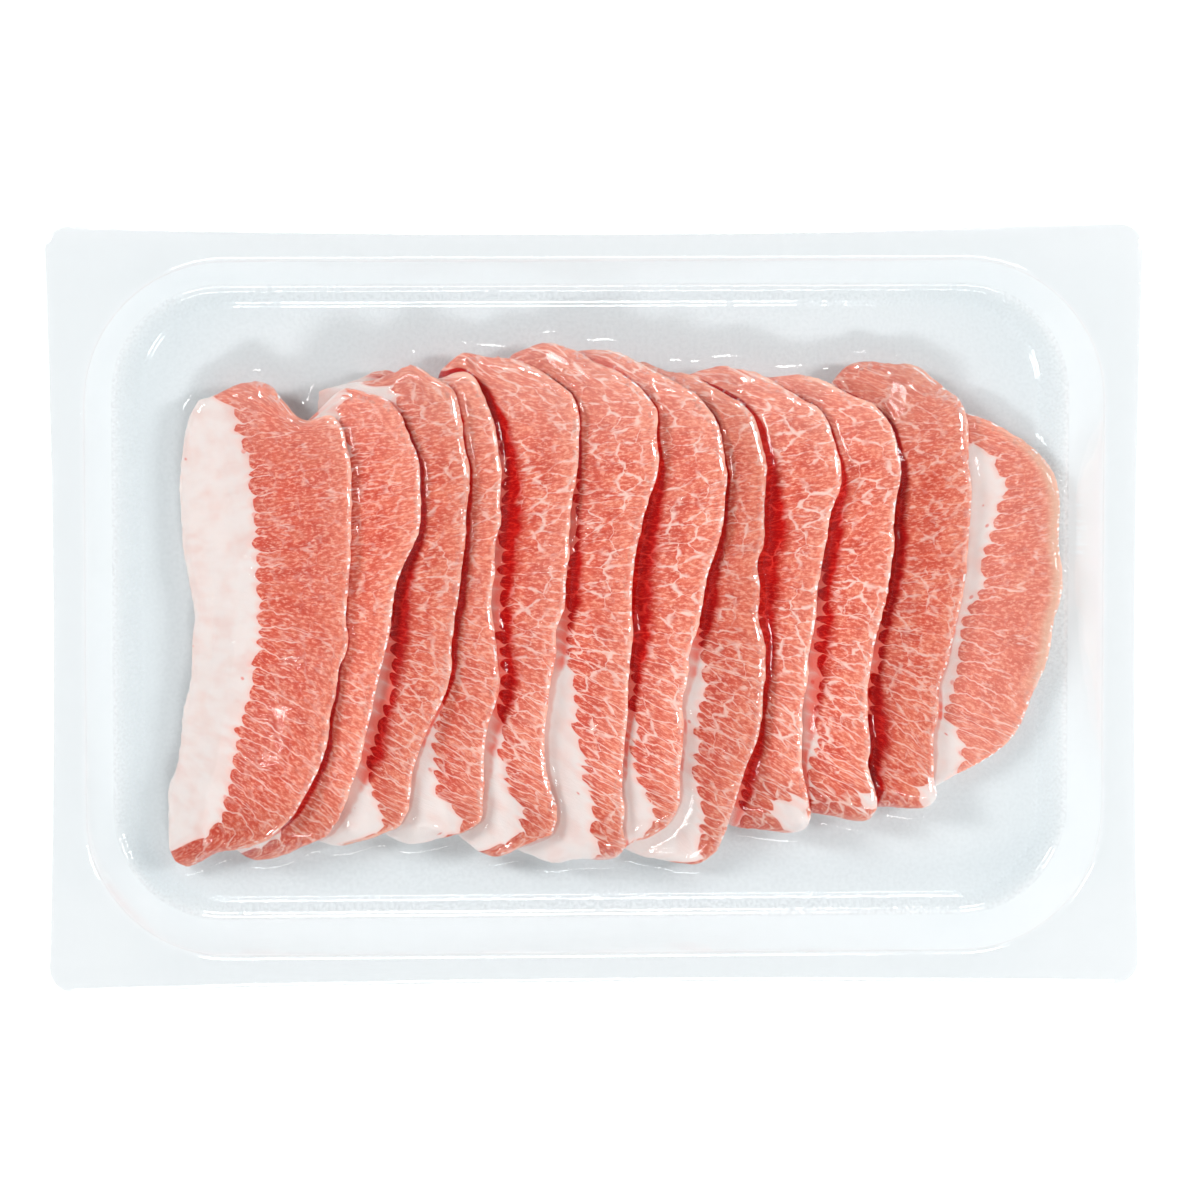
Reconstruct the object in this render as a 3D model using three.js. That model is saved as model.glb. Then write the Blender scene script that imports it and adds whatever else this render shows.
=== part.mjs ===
// A clear skin pack of sliced raw pork jowl. Twelve slices are shingled across the floor of a
// shallow thermoformed tray, each one resting on its right-hand neighbour, and a clear film is
// drawn down over them and sealed to the tray's flange.
// Millimetres, +Z up. The origin is under the middle of the pack, on the surface it stands on.
import * as THREE from 'three';
import { mergeVertices } from 'three/addons/utils/BufferGeometryUtils.js';

// The pack
const PACK_LENGTH = 260;
const PACK_WIDTH = 182;
const TRAY_HEIGHT = 20;
const SHEET = 0.6;
// Left free between two pieces.
const GAP = 0.3;

// The tray's flange, wall and foot
const FLANGE_INNER_LENGTH = 243;
const FLANGE_INNER_WIDTH = 166;
const FLANGE_INNER_RADIUS = 34;
const OUTER_CORNER_RADIUS = 7;
const SIDE_BOW = 1.6;
const FOOT_LENGTH = 227;
const FOOT_WIDTH = 150;
const FOOT_RADIUS = 25;
const FOOT_FILLET = 1.3;
const LIP_INSET = 1;
const LIP_DROP = 1.2;
const FLOOR_LENGTH = 214;
const FLOOR_WIDTH = 142;
const FLOOR_RADIUS = 20;
const FLOOR_EDGE = 1;
const FLOOR_RISE = 1;
const FLOOR_TOP = FLOOR_RISE + SHEET;
const CORNER_STEPS = 4;
const CORNER_MARGIN = 2;
const LONG_SIDE_STEPS = 4;
const SHORT_SIDE_STEPS = 3;

// The slices
const SLICE_THICKNESS = 3.7;
const SLICE_WIDTH = 35;
const EDGE_ROUND = 2.4;
const EDGE_BEVEL = 1.3;
const CORNER_ROUND = 5;
const END_ROW = 5;
const SWELL = 0.1;
const SWELL_LENGTH = 9;
const SWELL_TURNS = 5;
const SLICE_COLUMNS = 5;
const SLICE_ROWS = 7;
const STACK_SHIFT = { x: 0.6, y: -0.8 };
const SLICE_BENDING_PASSES = 24;

// The film
const FILM = 0.3;
const FILM_WALL_GAP = 0.8;
const FILM_FOOT_INSET = 2;
const FILM_BENDING_PASSES = 3;
const FILM_STACK_ROWS = 8;
const FILM_END_ROWS = [1, 8, 13, 17.5, 23];
const CREASE_REACH = 1.8;
const RING_SPACING = 8;

// Each slice from left to right. free: how far right its free edge lies, at seven stations from the
// top of the pack to the bottom. top and foot: how high its two ends lie at the left, in the middle
// and at the right. heel: the same for the left edge, where that isn't one slice width away.
const STATION_TOP = 54;
const STATION_BOTTOM = -54;
const SLICES = [
  {
    free: [-62, -58.6, -58.1, -59.7, -61.9, -65, -74.5],
    heel: [-95.5, -99.6, -99, -96.1, -97.2, -101, -102.7],
    top: [50, 54, 48.5],
    foot: [-62, -58.5, -55],
  },
  {
    free: [-49, -41.3, -43, -49.5, -51.8, -57, -61.7],
    top: [51, 53, 51.5],
    foot: [-55, -60.5, -55.5],
  },
  {
    free: [-33, -30.4, -31, -33.9, -35.1, -43.5, -45],
    top: [53, 55.5, 54.5],
    foot: [-54, -57, -53],
  },
  {
    free: [-27, -22.4, -24.2, -24.8, -22.8, -28.2, -25],
    top: [54, 56, 54.5],
    foot: [-51, -57.5, -52],
  },
  {
    free: [-3.6, -4.5, -6.7, -7.9, -11.4, -12.5, -8.7],
    top: [57, 59.5, 53],
    foot: [-50, -59, -55],
  },
  {
    free: [13, 15.9, 9.6, 8.3, 8.1, 5.3, 7.2],
    top: [61, 61.5, 54],
    foot: [-58, -60.5, -61.5],
  },
  {
    free: [26, 30.6, 29.9, 24.2, 21.2, 20, 20],
    top: [61, 59, 52],
    foot: [-57, -58.5, -53],
  },
  {
    free: [35.5, 40.7, 39.3, 39, 41, 37.3, 31],
    top: [56, 57, 50.5],
    foot: [-55, -61.5, -60],
  },
  {
    free: [54, 58.6, 55, 52.6, 50.2, 48.8, 52],
    top: [56, 56, 49.5],
    foot: [-45, -53.5, -54.5],
  },
  {
    free: [67, 72.7, 71.9, 69.2, 65.7, 65.5, 68],
    top: [54, 55, 49],
    foot: [-44, -50.5, -51.5],
  },
  {
    free: [90, 89.5, 90.3, 87.5, 83.5, 81.7, 80],
    top: [54, 58.5, 51],
    foot: [-40, -48.5, -49.5],
  },
  {
    free: [84, 109, 112, 111.6, 107.5, 100, 74],
    heel: [73, 75, 76, 75, 73, 70, 64],
    top: [50, 49.5, 40],
    foot: [-44, -46.5, -37],
  },
];

const TRAY_LOOK = { color: 0xe6eef2, roughness: 0.2, opacity: 0.35 };
const MEAT_LOOK = { color: 0xe2826f, roughness: 0.35, opacity: 1 };
const FILM_LOOK = { color: 0xf2f6f8, roughness: 0.1, opacity: 0.2 };

const { clamp, lerp } = THREE.MathUtils;

// ---- Rounded rectangles -------------------------------------------------------------------------

// A place on a rectangle's edge, given as a fraction of each half side, drawn in onto the arc where
// it lies in a rounded corner. The long sides may bow inwards between the corners.
function onRing(ring, across, along) {
  const x = across * (ring.halfLength - ring.bow * (1 - along * along));
  const y = along * (ring.halfWidth - ring.bow * (1 - across * across));
  const overX = Math.abs(x) - (ring.halfLength - ring.radius);
  const overY = Math.abs(y) - (ring.halfWidth - ring.radius);
  const reach = Math.hypot(overX, overY);
  if (overX <= 0 || overY <= 0 || reach <= ring.radius) {
    return { x, y };
  }
  const pull = ring.radius / reach;
  return {
    x: Math.sign(x) * (Math.abs(x) - overX * (1 - pull)),
    y: Math.sign(y) * (Math.abs(y) - overY * (1 - pull)),
  };
}

function makeRing(length, width, radius, height, bow = 0) {
  return { halfLength: length / 2, halfWidth: width / 2, radius, height, bow };
}

// Fractions of a half side from one corner to the other, closer together in the rounded corners.
function sideStations(halfSide, middleSteps) {
  const cornerShare = (FLANGE_INNER_RADIUS + CORNER_MARGIN) / halfSide;
  const stations = [];
  for (let i = 0; i < CORNER_STEPS; i += 1) {
    stations.push(-1 + (cornerShare * i) / CORNER_STEPS);
  }
  for (let i = 0; i <= middleSteps; i += 1) {
    stations.push(lerp(-1 + cornerShare, 1 - cornerShare, i / middleSteps));
  }
  for (let i = CORNER_STEPS - 1; i >= 0; i -= 1) {
    stations.push(1 - (cornerShare * i) / CORNER_STEPS);
  }
  return stations;
}

// The fractions of every point once round a ring, anticlockwise from its lower left corner.
function roundStations() {
  const acrossSteps = sideStations(FLANGE_INNER_LENGTH / 2, LONG_SIDE_STEPS);
  const alongSteps = sideStations(FLANGE_INNER_WIDTH / 2, SHORT_SIDE_STEPS);
  const round = [];
  acrossSteps.slice(0, -1).forEach((across) => round.push([across, -1]));
  alongSteps.slice(0, -1).forEach((along) => round.push([1, along]));
  acrossSteps.slice(1).reverse().forEach((across) => round.push([across, 1]));
  alongSteps.slice(1).reverse().forEach((along) => round.push([-1, along]));
  return round;
}

// ---- The tray -----------------------------------------------------------------------------------

// The upper face from the floor outwards. shift says how the face below lies from each ring, in
// sheet thicknesses outwards and downwards.
function trayRings() {
  return [
    { ...makeRing(FLOOR_LENGTH, FLOOR_WIDTH, FLOOR_RADIUS, FLOOR_TOP), shift: [0.2, 1] },
    {
      ...makeRing(
        FLOOR_LENGTH + 2 * FLOOR_EDGE,
        FLOOR_WIDTH + 2 * FLOOR_EDGE,
        FLOOR_RADIUS + FLOOR_EDGE,
        SHEET,
      ),
      shift: [0.2, 1],
    },
    { ...makeRing(FOOT_LENGTH, FOOT_WIDTH, FOOT_RADIUS, SHEET), shift: [0, 1] },
    {
      ...makeRing(
        FOOT_LENGTH + 2 * FOOT_FILLET,
        FOOT_WIDTH + 2 * FOOT_FILLET,
        FOOT_RADIUS + FOOT_FILLET,
        SHEET + FOOT_FILLET,
      ),
      shift: [0.8, 0.6],
    },
    {
      ...makeRing(
        FLANGE_INNER_LENGTH - 2 * LIP_INSET,
        FLANGE_INNER_WIDTH - 2 * LIP_INSET,
        FLANGE_INNER_RADIUS - LIP_INSET,
        TRAY_HEIGHT - LIP_DROP,
      ),
      shift: [1, 0.5],
    },
    {
      ...makeRing(FLANGE_INNER_LENGTH, FLANGE_INNER_WIDTH, FLANGE_INNER_RADIUS, TRAY_HEIGHT),
      shift: [0.4, 1],
    },
    {
      ...makeRing(PACK_LENGTH, PACK_WIDTH, OUTER_CORNER_RADIUS, TRAY_HEIGHT, SIDE_BOW),
      shift: [0, 1],
    },
  ];
}

// The ring that the face below passes through.
function lowerRing(ring) {
  const [out, down] = ring.shift;
  return {
    ...ring,
    halfLength: ring.halfLength + out * SHEET,
    halfWidth: ring.halfWidth + out * SHEET,
    radius: ring.radius + out * SHEET,
    height: ring.height - down * SHEET,
  };
}

// One closed sheet: out over the upper rings and back under the lower ones, with a point in the
// middle of the floor on each face.
function makeTray() {
  const upper = trayRings();
  const rings = [...upper, ...upper.map(lowerRing).reverse()];
  const round = roundStations();
  const positions = [0, 0, rings[0].height];
  rings.forEach((ring) => {
    round.forEach(([across, along]) => {
      const { x, y } = onRing(ring, across, along);
      positions.push(x, y, ring.height);
    });
  });
  const last = positions.length / 3;
  positions.push(0, 0, rings[rings.length - 1].height);

  const index = [];
  const at = (ring, step) => 1 + ring * round.length + (step % round.length);
  for (let step = 0; step < round.length; step += 1) {
    index.push(0, at(0, step), at(0, step + 1));
    for (let ring = 0; ring + 1 < rings.length; ring += 1) {
      index.push(at(ring, step), at(ring + 1, step), at(ring + 1, step + 1));
      index.push(at(ring, step), at(ring + 1, step + 1), at(ring, step + 1));
    }
    index.push(last, at(rings.length - 1, step + 1), at(rings.length - 1, step));
  }
  return closedGeometry(positions, index);
}

function closedGeometry(positions, index) {
  const geometry = new THREE.BufferGeometry();
  geometry.setAttribute('position', new THREE.Float32BufferAttribute(positions, 3));
  geometry.setIndex(index);
  const merged = mergeVertices(geometry);
  merged.computeVertexNormals();
  return merged;
}

// ---- The bed: how high whatever already lies in the tray reaches --------------------------------

const BED_STEP = 1;
const BED_HALF_LENGTH = 118;
const BED_HALF_WIDTH = 79;
const BED_COLUMNS = Math.ceil((2 * BED_HALF_LENGTH) / BED_STEP) + 1;
const BED_ROWS = Math.ceil((2 * BED_HALF_WIDTH) / BED_STEP) + 1;
const bed = new Float64Array(BED_COLUMNS * BED_ROWS).fill(FLOOR_TOP);

// The bed's four nodes around a place, and how far the place lies between them. A place beyond the
// bed's border counts as just inside its last cell.
const BORDER_MARGIN = 1.001;
function nodesAround(x, y) {
  const column = clamp((x + BED_HALF_LENGTH) / BED_STEP, 0, BED_COLUMNS - BORDER_MARGIN);
  const row = clamp((y + BED_HALF_WIDTH) / BED_STEP, 0, BED_ROWS - BORDER_MARGIN);
  const first = Math.floor(row) * BED_COLUMNS + Math.floor(column);
  const nodes = [first, first + 1, first + BED_COLUMNS, first + BED_COLUMNS + 1];
  return { nodes, alongX: column % 1, alongY: row % 1 };
}

function heightOn(field, x, y) {
  const { nodes, alongX, alongY } = nodesAround(x, y);
  const [a, b, c, d] = nodes.map((node) => field[node]);
  return lerp(lerp(a, b, alongX), lerp(c, d, alongX), alongY);
}

// A sheet with some stiffness laid on the bed: it bridges hollows and never dips below the bed.
function layOnBed(passes) {
  let sheet = Float64Array.from(bed);
  for (let pass = 0; pass < passes; pass += 1) {
    const eased = Float64Array.from(sheet);
    for (let row = 1; row < BED_ROWS - 1; row += 1) {
      for (let column = 1; column < BED_COLUMNS - 1; column += 1) {
        const node = row * BED_COLUMNS + column;
        const beside = sheet[node - 1] + sheet[node + 1];
        const endwise = sheet[node - BED_COLUMNS] + sheet[node + BED_COLUMNS];
        eased[node] = Math.max(bed[node], (beside + endwise) / 4);
      }
    }
    sheet = eased;
  }
  return sheet;
}

// Calls visit with evenly spread places on one facet, as shares of its three corners.
const FACET_STEPS = 9;
function overFacet(visit) {
  for (let i = 0; i <= FACET_STEPS; i += 1) {
    for (let j = 0; j <= FACET_STEPS - i; j += 1) {
      visit([i / FACET_STEPS, j / FACET_STEPS, (FACET_STEPS - i - j) / FACET_STEPS]);
    }
  }
}

function blendOf(corners, shares, key) {
  return corners.reduce((sum, corner, i) => sum + corner[key] * shares[i], 0);
}

// ---- Slabs: a grid of places with a face above and a face below, closed round the border --------

// Two facets to a cell. The diagonals run towards the grid's four corners, so that no facet has all
// three of its own corners on the border.
function facetsOf(columns, rows) {
  const facets = [];
  const at = (column, row) => row * (columns + 1) + column;
  for (let row = 0; row < rows; row += 1) {
    for (let column = 0; column < columns; column += 1) {
      const a = at(column, row);
      const b = at(column, row + 1);
      const c = at(column + 1, row + 1);
      const d = at(column + 1, row);
      if (row < rows / 2 === column < columns / 2) {
        facets.push([a, b, c], [a, c, d]);
      } else {
        facets.push([a, b, d], [b, c, d]);
      }
    }
  }
  return facets;
}

// Raises the places until every facet between them lies a gap above the bed. Where a facet falls
// short, each of its corners rises by its share in the place that is shortest.
const LIFT_ROUNDS = 12;
function liftClear(places, facets) {
  for (let round = 0; round < LIFT_ROUNDS; round += 1) {
    const lifts = places.map(() => 0);
    facets.forEach((facet) => {
      const corners = facet.map((i) => places[i]);
      if (corners.some((corner) => corner.fixed)) {
        return;
      }
      overFacet((shares) => {
        const level = heightOn(bed, blendOf(corners, shares, 'x'), blendOf(corners, shares, 'y'));
        const short = level + GAP - blendOf(corners, shares, 'under');
        const spread = shares.reduce((sum, share) => sum + share * share, 0);
        facet.forEach((i, corner) => {
          lifts[i] = Math.max(lifts[i], (short * shares[corner]) / spread);
        });
      });
    });
    places.forEach((place, i) => {
      place.under += lifts[i];
    });
  }
}

function raiseBed(places, facets) {
  facets.forEach((facet) => {
    const corners = facet.map((i) => places[i]);
    overFacet((shares) => {
      const around = nodesAround(blendOf(corners, shares, 'x'), blendOf(corners, shares, 'y'));
      const height = blendOf(corners, shares, 'top');
      around.nodes.forEach((node) => {
        bed[node] = Math.max(bed[node], height);
      });
    });
  });
}

// Joins the two faces; on the border both pass through the same point.
function makeSlab(places, facets) {
  const positions = [];
  places.forEach(({ x, y, top }) => positions.push(x, y, top));
  places.forEach(({ x, y, bottom }) => positions.push(x, y, bottom));
  const index = [];
  facets.forEach(([a, b, c]) => {
    index.push(a, b, c);
    index.push(a + places.length, c + places.length, b + places.length);
  });
  return closedGeometry(positions, index);
}

// ---- The slices ---------------------------------------------------------------------------------

// Stations from 0 to 1: a bevel row and an end row beside each border, and even ones between.
function borderedStations(length, secondStep, evenCells) {
  const bevel = EDGE_BEVEL / length;
  const second = secondStep / length;
  const stations = [0, bevel];
  for (let i = 0; i <= evenCells; i += 1) {
    stations.push(lerp(second, 1 - second, i / evenCells));
  }
  stations.push(1 - bevel, 1);
  return stations;
}

function throughThree([first, middle, last], t) {
  const bulge = 4 * (middle - (first + last) / 2) * t * (1 - t);
  return lerp(first, last, t) + bulge;
}

function edgeLine(values) {
  const spline = new THREE.SplineCurve(values.map((value, i) => new THREE.Vector2(value, i)));
  return (y) => spline.getPoint(clamp((STATION_TOP - y) / (STATION_TOP - STATION_BOTTOM), 0, 1)).x;
}

// How much narrower each side is, that far from a rounded end.
function cornerInset(fromEnd) {
  const into = Math.max(0, CORNER_ROUND - fromEnd);
  return CORNER_ROUND - Math.sqrt(CORNER_ROUND ** 2 - into ** 2);
}

// Half the thickness that is left, that far in from the border, on a rounded edge.
function edgeShare(fromBorder) {
  const into = clamp(1 - fromBorder / EDGE_ROUND, 0, 1);
  return Math.sqrt(1 - into * into);
}

function slicePlan(slice, order) {
  const freeEdge = edgeLine(slice.free);
  const heelEdge = edgeLine(slice.heel ?? slice.free.map((x) => x - SLICE_WIDTH));
  const across = borderedStations(SLICE_WIDTH, 2 * EDGE_ROUND, SLICE_COLUMNS);
  const length = slice.top[1] - slice.foot[1];
  const along = borderedStations(length, END_ROW, SLICE_ROWS);
  const places = [];
  along.forEach((v) => {
    across.forEach((u) => {
      const y = lerp(throughThree(slice.top, u), throughThree(slice.foot, u), v);
      const fromEnd = Math.min(v, 1 - v) * length;
      const left = heelEdge(y) + cornerInset(fromEnd);
      const right = freeEdge(y) - cornerInset(fromEnd);
      const fromBorder = Math.min(Math.min(u, 1 - u) * (right - left), fromEnd);
      const swell = Math.sin(y / SWELL_LENGTH + 2 * order) * Math.sin(u * SWELL_TURNS + order);
      places.push({
        x: lerp(left, right, u) + STACK_SHIFT.x,
        y: y + STACK_SHIFT.y,
        share: edgeShare(fromBorder),
        thickness: SLICE_THICKNESS * (1 + SWELL * swell),
      });
    });
  });
  return { places, facets: facetsOf(across.length - 1, along.length - 1) };
}

function makeSlice(slice, order) {
  const { places, facets } = slicePlan(slice, order);
  const sheet = layOnBed(SLICE_BENDING_PASSES);
  places.forEach((place) => {
    place.under = heightOn(sheet, place.x, place.y) + GAP;
  });
  liftClear(places, facets);
  places.forEach((place) => {
    const middle = place.under + place.thickness / 2;
    place.top = middle + (place.share * place.thickness) / 2;
    place.bottom = middle - (place.share * place.thickness) / 2;
  });
  raiseBed(places, facets);
  return makeSlab(places, facets);
}

// ---- The film -----------------------------------------------------------------------------------

// The film's three outermost rings lie on the flange, at the top of the wall and at its foot.
function filmRings() {
  const inset = 2 * FILM_WALL_GAP;
  const foot = 2 * FOOT_FILLET - inset;
  return [
    {
      ...makeRing(PACK_LENGTH, PACK_WIDTH, OUTER_CORNER_RADIUS, TRAY_HEIGHT + GAP, SIDE_BOW),
      fixed: true,
    },
    {
      ...makeRing(
        FLANGE_INNER_LENGTH - inset,
        FLANGE_INNER_WIDTH - inset,
        FLANGE_INNER_RADIUS - FILM_WALL_GAP,
        TRAY_HEIGHT + GAP,
      ),
      fixed: true,
    },
    makeRing(FOOT_LENGTH + foot, FOOT_WIDTH + foot, FOOT_RADIUS, SHEET + FOOT_FILLET + GAP),
  ];
}

// Where the film's lines run at one height on the plan: outside the first slice, and for each slice
// along the rim of its free edge, in the crease beside it and halfway to the next rim.
function filmLines(y) {
  const lines = [-FLOOR_LENGTH / 2, edgeLine(SLICES[0].heel)(y) - CREASE_REACH];
  SLICES.forEach((slice) => {
    const rim = Math.max(edgeLine(slice.free)(y) - EDGE_BEVEL, lines[lines.length - 1] + 1);
    const crease = lines[lines.length - 1];
    lines.push((rim + crease) / 2, rim, rim + EDGE_BEVEL + CREASE_REACH);
  });
  lines.push(Math.max(lines.pop() - CREASE_REACH, FLOOR_LENGTH / 2 - CREASE_REACH));
  return lines.map((x) => x + STACK_SHIFT.x);
}

// Rows close together where the film comes down over the slices' ends, and even ones between.
function filmRows() {
  const ends = FILM_END_ROWS.map((inset) => FLOOR_WIDTH / 2 - inset);
  const last = ends[ends.length - 1];
  const between = [];
  for (let i = 1; i < FILM_STACK_ROWS; i += 1) {
    between.push(lerp(last, -last, i / FILM_STACK_ROWS));
  }
  return [...ends, ...between, ...ends.map((y) => -y).reverse()];
}

// One grid: its outermost rings are spaced like the lines inside them.
function filmPlan() {
  const rings = filmRings();
  const limit = makeRing(
    FOOT_LENGTH - 2 * FILM_FOOT_INSET,
    FOOT_WIDTH - 2 * FILM_FOOT_INSET,
    FOOT_RADIUS - FILM_FOOT_INSET,
    0,
  );
  const outside = rings.map((ring, i) => (rings.length - i) * RING_SPACING);
  const span = (lines, half) => [
    ...outside.map((beyond) => -half - beyond),
    ...lines,
    ...outside.map((beyond) => half + beyond).reverse(),
  ];
  const rows = span(filmRows().reverse(), limit.halfWidth).reverse();
  const places = [];
  rows.forEach((rowY, row) => {
    const columns = span(filmLines(rowY), limit.halfLength);
    const lastRow = rows.length - 1;
    const lastColumn = columns.length - 1;
    columns.forEach((columnX, column) => {
      const depth = Math.min(row, column, lastRow - row, lastColumn - column);
      const ring = rings[depth] ?? limit;
      const reachX = depth < rings.length ? columns[lastColumn - depth] : limit.halfLength;
      const reachY = depth < rings.length ? rows[depth] : limit.halfWidth;
      const { x, y } = onRing(ring, columnX / reachX, rowY / reachY);
      places.push({ x, y, under: ring.height, fixed: ring.fixed, border: depth === 0 });
    });
  });
  return { places, facets: facetsOf(span(filmLines(0), 1).length - 1, rows.length - 1) };
}

function makeFilm() {
  const { places, facets } = filmPlan();
  const sheet = layOnBed(FILM_BENDING_PASSES);
  places.filter((place) => !place.fixed).forEach((place) => {
    place.under = Math.max(place.under, heightOn(sheet, place.x, place.y) + GAP);
  });
  liftClear(places, facets);
  places.forEach((place) => {
    const half = place.border ? 0 : FILM / 2;
    place.top = place.under + FILM / 2 + half;
    place.bottom = place.under + FILM / 2 - half;
  });
  return makeSlab(places, facets);
}

// ---- The pack -----------------------------------------------------------------------------------

function addPart(pack, name, geometry, look) {
  const material = new THREE.MeshStandardMaterial({ ...look, metalness: 0 });
  material.transparent = look.opacity < 1;
  const mesh = new THREE.Mesh(geometry, material);
  mesh.name = name;
  pack.add(mesh);
}

const pack = new THREE.Group();
addPart(pack, 'tray', makeTray(), TRAY_LOOK);

// The rightmost slice lies lowest, so the slices go in from right to left.
for (let order = SLICES.length; order > 0; order -= 1) {
  const name = `slice_${String(order).padStart(2, '0')}`;
  addPart(pack, name, makeSlice(SLICES[order - 1], order), MEAT_LOOK);
}

addPart(pack, 'skin_film', makeFilm(), FILM_LOOK);

export default pack;
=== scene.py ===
import math

import bmesh
import bpy
import numpy as np
from mathutils import Matrix, Vector


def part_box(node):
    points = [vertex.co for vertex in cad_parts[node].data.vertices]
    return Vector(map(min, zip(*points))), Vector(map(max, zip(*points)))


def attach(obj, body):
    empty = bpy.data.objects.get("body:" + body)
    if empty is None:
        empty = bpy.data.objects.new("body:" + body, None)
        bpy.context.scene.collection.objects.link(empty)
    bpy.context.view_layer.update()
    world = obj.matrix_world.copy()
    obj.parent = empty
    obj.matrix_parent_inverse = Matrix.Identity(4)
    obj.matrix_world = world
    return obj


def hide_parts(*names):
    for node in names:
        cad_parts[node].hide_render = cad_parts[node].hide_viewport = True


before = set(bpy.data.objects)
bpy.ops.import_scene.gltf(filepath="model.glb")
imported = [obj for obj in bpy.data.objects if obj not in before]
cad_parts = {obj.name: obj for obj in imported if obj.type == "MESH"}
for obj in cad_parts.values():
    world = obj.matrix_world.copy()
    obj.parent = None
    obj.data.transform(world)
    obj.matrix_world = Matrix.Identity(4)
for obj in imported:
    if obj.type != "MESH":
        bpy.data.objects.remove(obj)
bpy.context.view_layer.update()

bpy.ops.object.select_all(action="DESELECT")

# ---- The studio -------------------------------------------------------------------------------
# A pale floor under the pack, a soft white surround, three soft lamps at the left, in front and at
# the right, and a fourth behind for the gleams. The camera looks almost straight down.

MM = 0.001

FLOOR_SIZE = 4.0
FLOOR_GAP = 0.2 * MM
bpy.ops.mesh.primitive_plane_add(size=FLOOR_SIZE, location=(0, 0, -FLOOR_GAP))
floor = bpy.context.object
floor.name = "studio_floor"

WHITE = (0.92, 0.92, 0.92, 1)
paper = bpy.data.materials.new("floor_paper")
paper.use_nodes = True
paper.node_tree.nodes["Principled BSDF"].inputs["Base Color"].default_value = WHITE
paper.node_tree.nodes["Principled BSDF"].inputs["Roughness"].default_value = 0.9
floor.data.materials.append(paper)

# The surround is brightest level with the pack and darker overhead, as in a tent of white cloth.
AT_LEVEL, OVERHEAD = 0.95, 0.2
world = bpy.data.worlds.new("surround")
world.use_nodes = True
links, nodes = world.node_tree.links, world.node_tree.nodes
direction = nodes.new("ShaderNodeTexCoord")
axes = nodes.new("ShaderNodeSeparateXYZ")
brightness = nodes.new("ShaderNodeMapRange")
brightness.inputs["To Min"].default_value = AT_LEVEL
brightness.inputs["To Max"].default_value = OVERHEAD
links.new(direction.outputs["Generated"], axes.inputs[0])
links.new(axes.outputs["Z"], brightness.inputs["Value"])
links.new(brightness.outputs["Result"], nodes["Background"].inputs["Strength"])
nodes["Background"].inputs["Color"].default_value = (1, 1, 1, 1)
bpy.context.scene.world = world
bpy.context.scene.view_settings.view_transform = "Standard"
bpy.context.scene.cycles.transparent_max_bounces = 24

TARGET = Vector((0.83 * MM, 2.02 * MM, 20 * MM))


def add_lamp(name, place, size, power):
    """A rectangular soft lamp that faces the pack, in metres and watts."""
    lamp_data = bpy.data.lights.new(name, "AREA")
    lamp_data.shape = "RECTANGLE"
    lamp_data.size, lamp_data.size_y = size
    lamp_data.energy = power
    lamp = bpy.data.objects.new(name, lamp_data)
    bpy.context.scene.collection.objects.link(lamp)
    lamp.location = place
    lamp.rotation_euler = (Vector(place) - TARGET).to_track_quat("Z", "Y").to_euler()
    return lamp


add_lamp("lamp_left", (-0.95, 0.5, 0.8), (0.3, 0.4), 8.6)
add_lamp("lamp_front", (0.05, -1.0, 0.85), (0.5, 0.15), 6.4)
add_lamp("lamp_right", (1.0, 0.2, 0.7), (0.2, 0.4), 7.4)
# This one only makes the long gleams on the wall in front and over the slices' far ends.
add_lamp("lamp_behind", (0.04, 1.1, 0.95), (0.24, 0.4), 14).visible_diffuse = False

CAMERA_DISTANCE = 1.7
FRAME_WIDTH = 285 * MM
towards_camera = Vector((-0.059, 0.092, 1)).normalized()
across = Vector((0, 1, 0)).cross(towards_camera).normalized()
upwards = towards_camera.cross(across)
camera_data = bpy.data.cameras.new("camera")
camera_data.lens = camera_data.sensor_width * CAMERA_DISTANCE / FRAME_WIDTH
camera = bpy.data.objects.new("camera", camera_data)
bpy.context.scene.collection.objects.link(camera)
turn = Matrix((across, upwards, towards_camera)).transposed().to_4x4()
camera.matrix_world = Matrix.Translation(TARGET + CAMERA_DISTANCE * towards_camera) @ turn
bpy.context.scene.camera = camera

# ---- The tray ---------------------------------------------------------------------------------
# One clear plastic sheet, drawn by heat and vacuum into a shallow dish: a finely frosted floor, a
# foot groove that the pack stands on, a sloping wall with round corners, and a wide flat flange.

TRAY_SHEET = 0.45 * MM
CORNER_STEPS = 16
SIDE_STEPS = 5
SMOOTH_BELOW = math.radians(50)

# The flange reaches a little past its solid.
EXTRA_LENGTH, EXTRA_WIDTH = 0.5 * MM, 0.25 * MM
flange_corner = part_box("tray")[1]
flange_top = flange_corner.z
half_length, half_width = flange_corner.x + EXTRA_LENGTH, flange_corner.y + EXTRA_WIDTH
OUTER_CORNER = 6 * MM
SIDE_BOW = 1.6 * MM

# Half length, half width, corner radius and height of each line round the floor and its groove,
# in millimetres, from the middle outwards.
FLOOR_LINES = (
    (105, 69, 18, 1.6),
    (106.6, 70.6, 19.6, 1.6),
    (107.2, 71.2, 20.2, 1.42),
    (107.7, 71.7, 20.7, 0.78),
    (108.3, 72.3, 21.3, 0.6),
    (112.6, 74.2, 24.2, 0.6),
)
# The foot and top of the wall: half length, half width and corner radius, then how it bends there.
FOOT = (113.5 * MM, 75 * MM, 25 * MM)
FOOT_BEND, FOOT_HEIGHT, FOOT_SLOPE = 1.6 * MM, 0.6 * MM, 10
WALL_TOP = (121.5 * MM, 83 * MM, 34 * MM)
TOP_BEND, TOP_SPREAD, WALL_SLOPE = 1.8 * MM, 1.2 * MM, 66
# How far in from the flange's edge its last lines run and how far down, where the edge turns down.
EDGE_LINES = ((2.2, 0), (0.7, 0.05), (0, 0.5))


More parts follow.
